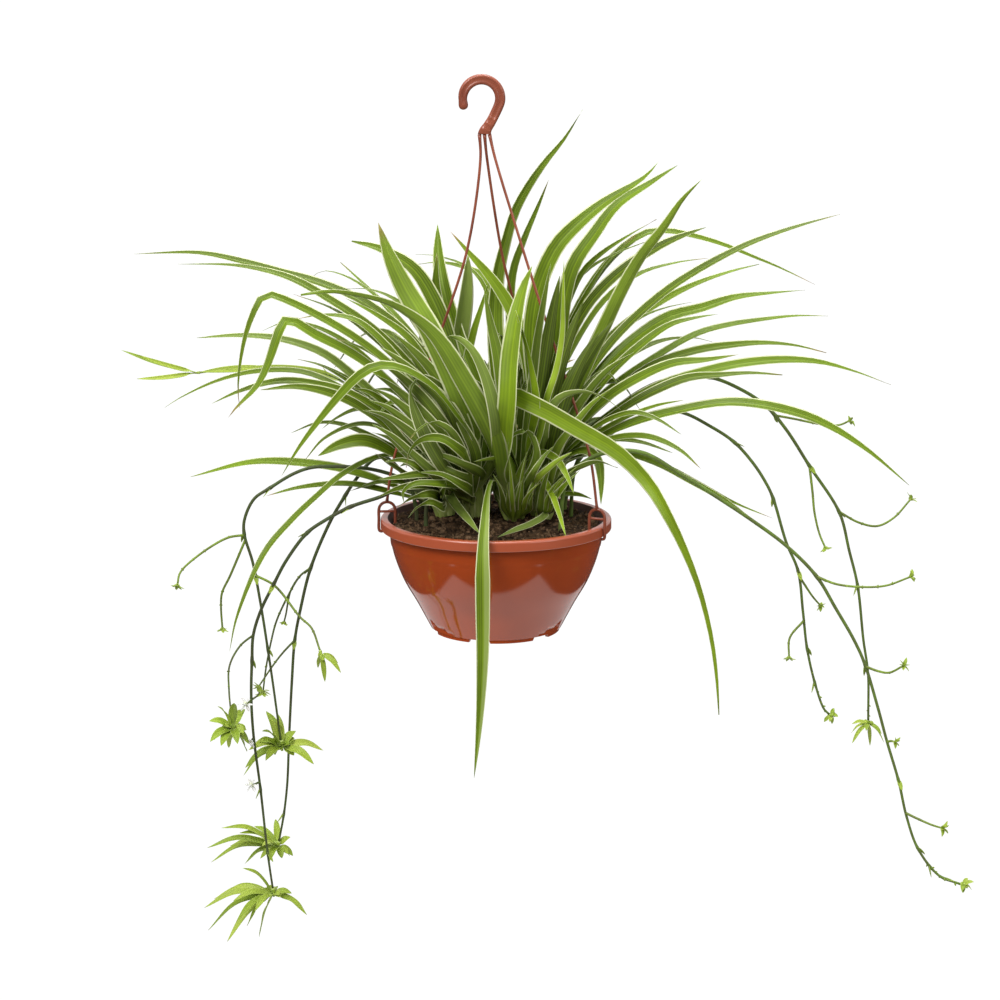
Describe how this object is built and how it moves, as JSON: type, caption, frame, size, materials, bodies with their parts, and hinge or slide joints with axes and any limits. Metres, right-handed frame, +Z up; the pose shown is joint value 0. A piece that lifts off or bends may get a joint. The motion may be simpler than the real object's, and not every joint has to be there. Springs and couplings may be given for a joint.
{
  "type": "potted spider plant",
  "caption": "Spider plant with arching blades, trailing runners and plantlets, in a round hanging pot with a turned-down lip and a three-strand hanger that ends in a hook.",
  "frame": {"origin": "the top of the inside of the hook's arc, where the hook bears on what it hangs from", "axes": "+Z up, along the line that the part hangs in; +Y away from the front, which is the side with the two blades that hang in front of the pot; +X to the right as seen from the front"},
  "size_m": [0.8575, 0.4219, 0.8694],
  "materials": {
    "pot_plastic": "smooth moulded plastic, terracotta colour",
    "hanger_plastic": "smooth moulded plastic, reddish brown",
    "soil": "loose dark potting mix",
    "leaf_green": "satin leaf with pale margins",
    "runner_green": "wiry green stem",
    "plantlet_green": "satin young leaf, yellow-green",
    "flower_white": "thin white petals"
  },
  "bodies": {
    "root": {"pot": "pot_plastic", "soil": "soil", "hanger_hook": "hanger_plastic", "hanger_strand_left": "hanger_plastic", "hanger_strand_right": "hanger_plastic", "hanger_strand_back": "hanger_plastic", "crown_left": "leaf_green", "crown_mid_left": "leaf_green", "crown_centre": "leaf_green", "crown_right": "leaf_green", "crown_back_left": "leaf_green", "crown_back_right": "leaf_green", "runner_left_upper": "runner_green", "runner_left_long": "runner_green", "runner_left_low": "runner_green", "runner_left_inner": "runner_green", "runner_right_long": "runner_green", "runner_right_inner": "runner_green", "runner_right_low": "runner_green", "plantlet_left_bract": "plantlet_green", "plantlet_left_a": "plantlet_green", "plantlet_left_b": "plantlet_green", "plantlet_left_c": "plantlet_green", "plantlet_left_d": "plantlet_green", "plantlet_left_e": "plantlet_green", "plantlet_right_a": "plantlet_green", "plantlet_right_b": "plantlet_green", "plantlet_right_c": "plantlet_green", "flower_upper": "flower_white", "flower_middle": "flower_white", "flower_lower": "flower_white"}
  },
  "joints": []
}
